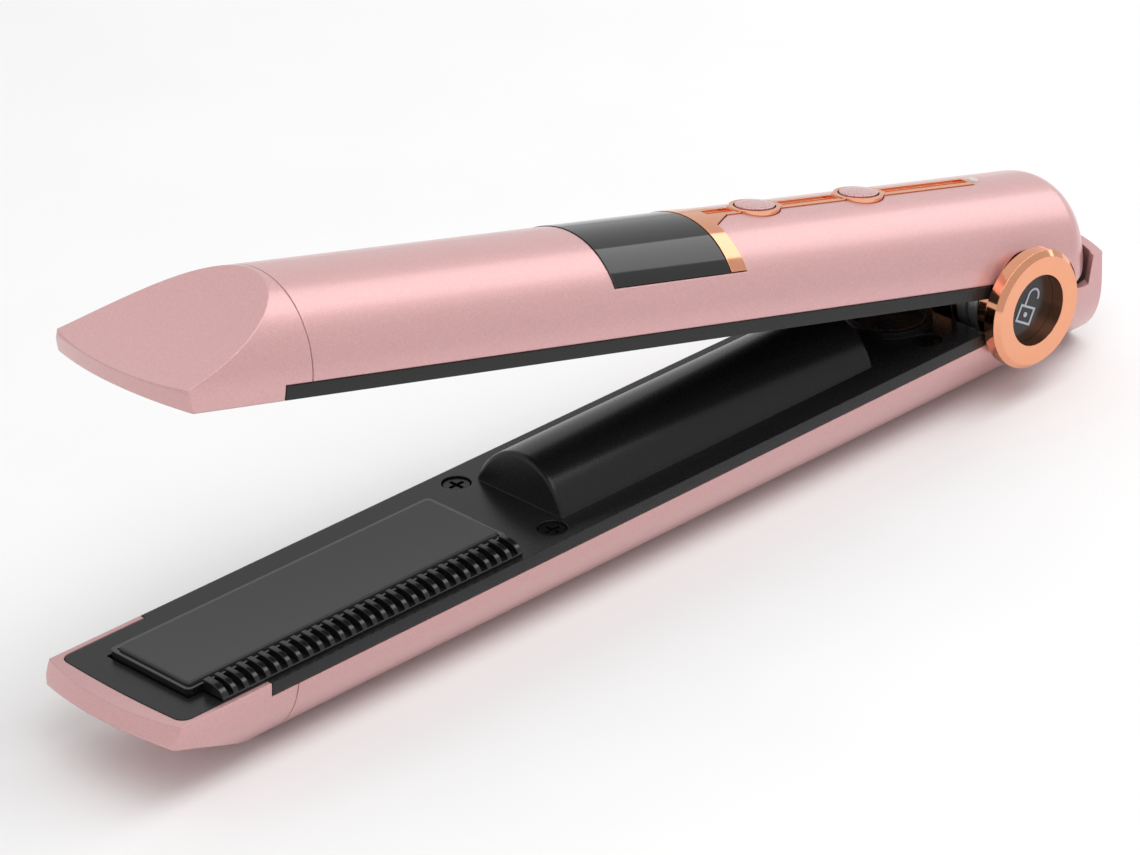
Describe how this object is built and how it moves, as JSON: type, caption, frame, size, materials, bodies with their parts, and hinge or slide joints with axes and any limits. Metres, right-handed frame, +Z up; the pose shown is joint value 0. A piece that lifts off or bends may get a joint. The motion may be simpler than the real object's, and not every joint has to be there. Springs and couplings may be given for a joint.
{
  "type": "flat iron",
  "caption": "Cordless hair straightener: two hinged arms with spring-mounted heated plates, a comb strip, a display, two buttons and a turning lock ring.",
  "frame": {"origin": "on the flat the lower arm rests on, straight below the hinge axis, in the middle plane of the arms", "axes": "+X from the hinge towards the tips along the lower arm, +Y towards the side with the lock ring, +Z up"},
  "size_m": [0.2153, 0.038, 0.0747],
  "materials": {
    "rose_paint": "metallic satin paint",
    "tray_black": "satin",
    "frame_black": "gloss",
    "comb_black": "gloss",
    "plate_ceramic": "glossy ceramic coating",
    "rose_chrome": "rose gold mirror",
    "dark_glass": "gloss",
    "button_rose": "satin",
    "sign_light": "printed",
    "lamp_clear": "clear",
    "screw_steel": "blackened",
    "hinge_steel": "plain",
    "spring_steel": "plain",
    "barrel_chrome": "rose gold mirror",
    "heater_ceramic": "ceramic",
    "shield_mica": "mica",
    "cell_wrap": "wrapped",
    "tab_nickel": "plain",
    "cradle_plastic": "moulded",
    "board_green": "solder mask",
    "chip_black": "moulded",
    "display_lit": "gloss",
    "port_steel": "plain"
  },
  "bodies": {
    "lower_arm": {"lower_shell": "rose_paint", "lower_nose_cap": "rose_paint", "lower_tray": "tray_black", "lower_tray_screws": "screw_steel", "lower_plate_springs": "spring_steel", "comb_strip": "comb_black", "battery_cell": "cell_wrap", "battery_tab_rear": "tab_nickel", "battery_tab_front": "tab_nickel", "battery_cradle": "cradle_plastic", "charge_port": "port_steel", "charge_board": "board_green", "lower_hinge_bracket": "hinge_steel", "hinge_barrel": "barrel_chrome", "hinge_pin": "hinge_steel", "pin_clip": "spring_steel", "hinge_washers": "hinge_steel", "opening_spring": "spring_steel", "hinge_cap": "rose_chrome"},
    "lower_plate": {"lower_plate_frame": "frame_black", "lower_heat_plate": "plate_ceramic", "lower_heater": "heater_ceramic", "lower_heat_shield": "shield_mica"},
    "upper_arm": {"upper_shell": "rose_paint", "upper_nose_cap": "rose_paint", "upper_tray": "tray_black", "upper_tray_screws": "screw_steel", "upper_plate_springs": "spring_steel", "upper_hinge_bracket": "hinge_steel", "display_window": "dark_glass", "display_module": "display_lit", "trim_strip": "rose_chrome", "status_light": "lamp_clear", "control_board": "board_green", "button_switches": "chip_black", "board_chips": "chip_black"},
    "upper_plate": {"upper_plate_frame": "frame_black", "upper_heat_plate": "plate_ceramic", "upper_heater": "heater_ceramic", "upper_heat_shield": "shield_mica"},
    "power_key": {"power_button": "button_rose"},
    "mode_key": {"mode_button": "button_rose"},
    "lock": {"lock_ring": "rose_chrome", "lock_dial_face": "frame_black", "lock_sign": "sign_light", "lock_cam": "hinge_steel"}
  },
  "joints": [
    {"name": "arm_hinge", "type": "hinge", "parent": "lower_arm", "child": "upper_arm", "pos_m": [0, 0, 0.0168], "axis": [0, 1, 0], "range_deg": [0, 14.4], "stiffness_Nm_per_rad": 1, "springref_deg": -14.32},
    {"name": "lower_plate_float", "type": "slide", "parent": "lower_arm", "child": "lower_plate", "axis": [0, 0, -1], "range_m": [0, 0.0008], "stiffness_N_per_m": 2000, "springref_m": -0.001, "deforming": ["lower_plate_springs"]},
    {"name": "upper_plate_float", "type": "slide", "parent": "upper_arm", "child": "upper_plate", "axis": [-0.2487, 0, 0.9686], "range_m": [0, 0.0008], "stiffness_N_per_m": 2000, "springref_m": -0.001, "deforming": ["upper_plate_springs"]},
    {"name": "power_press", "type": "slide", "parent": "upper_arm", "child": "power_key", "axis": [0.2487, 0, -0.9686], "range_m": [0, 0.0007], "stiffness_N_per_m": 1500, "springref_m": -0.0007},
    {"name": "mode_press", "type": "slide", "parent": "upper_arm", "child": "mode_key", "axis": [0.2487, 0, -0.9686], "range_m": [0, 0.0007], "stiffness_N_per_m": 1500, "springref_m": -0.0007},
    {"name": "lock_turn", "type": "hinge", "parent": "lower_arm", "child": "lock", "pos_m": [0, 0.017, 0.0168], "axis": [0, 1, 0], "range_deg": [0, 60]}
  ]
}
